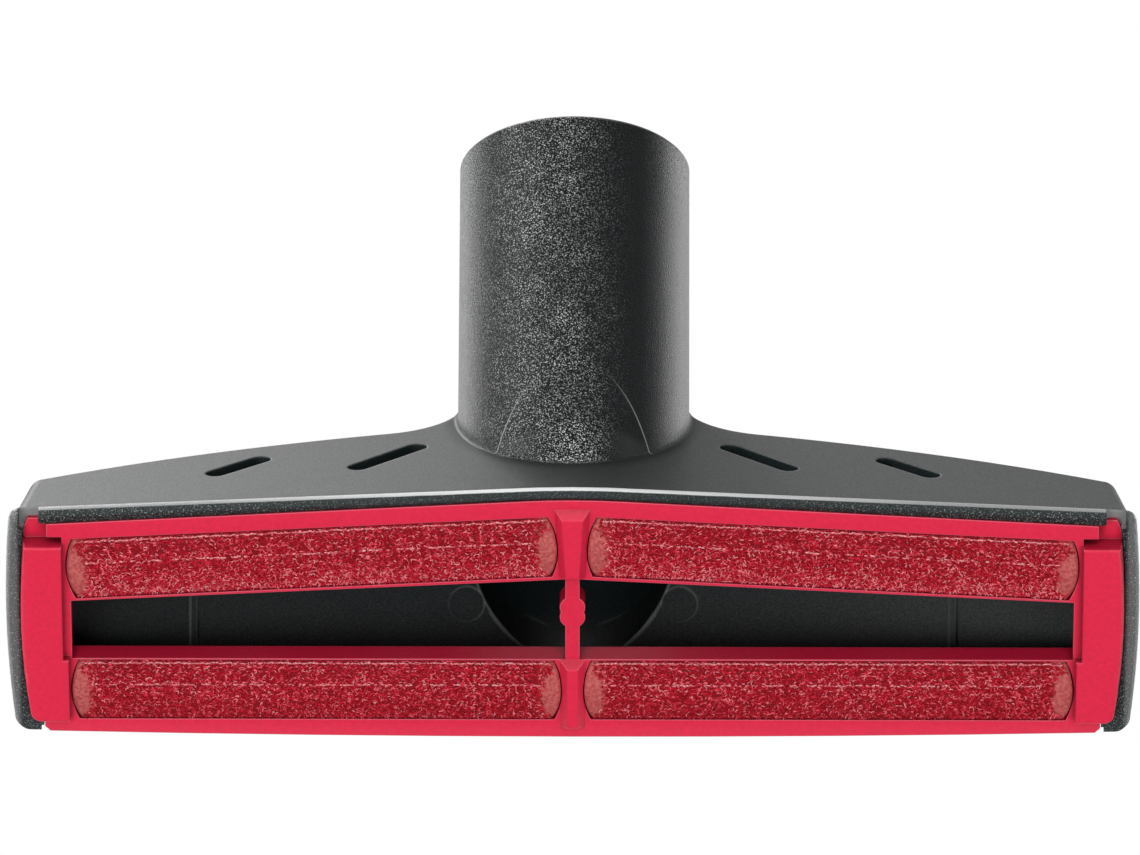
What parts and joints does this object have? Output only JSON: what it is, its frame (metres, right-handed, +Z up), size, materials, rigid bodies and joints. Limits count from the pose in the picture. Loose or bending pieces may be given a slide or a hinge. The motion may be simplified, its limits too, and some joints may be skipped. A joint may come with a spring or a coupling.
{
  "type": "vacuum upholstery nozzle",
  "caption": "Wide flat suction head with a leaning tube socket, an open slot mouth and pile lint strips on a framed sole, for cleaning upholstery.",
  "frame": {"origin": "on the plane of symmetry, at the level of the skids' faces that rest on the fabric, under the middle of the overall depth from the neck's rim to the front edge", "axes": "+X along the wide side, +Y towards the rounded front that the neck leans away from, +Z up from the sole"},
  "size_m": [0.19, 0.0764, 0.0964],
  "materials": {
    "black_plastic": "fine moulded grain",
    "red_plastic": "satin moulded",
    "red_pile": "one-way cut pile"
  },
  "bodies": {
    "root": {"housing": "black_plastic", "sole_frame": "red_plastic", "lint_strip_rear_left": "red_pile", "lint_strip_rear_right": "red_pile", "lint_strip_front_left": "red_pile", "lint_strip_front_right": "red_pile"}
  },
  "joints": []
}
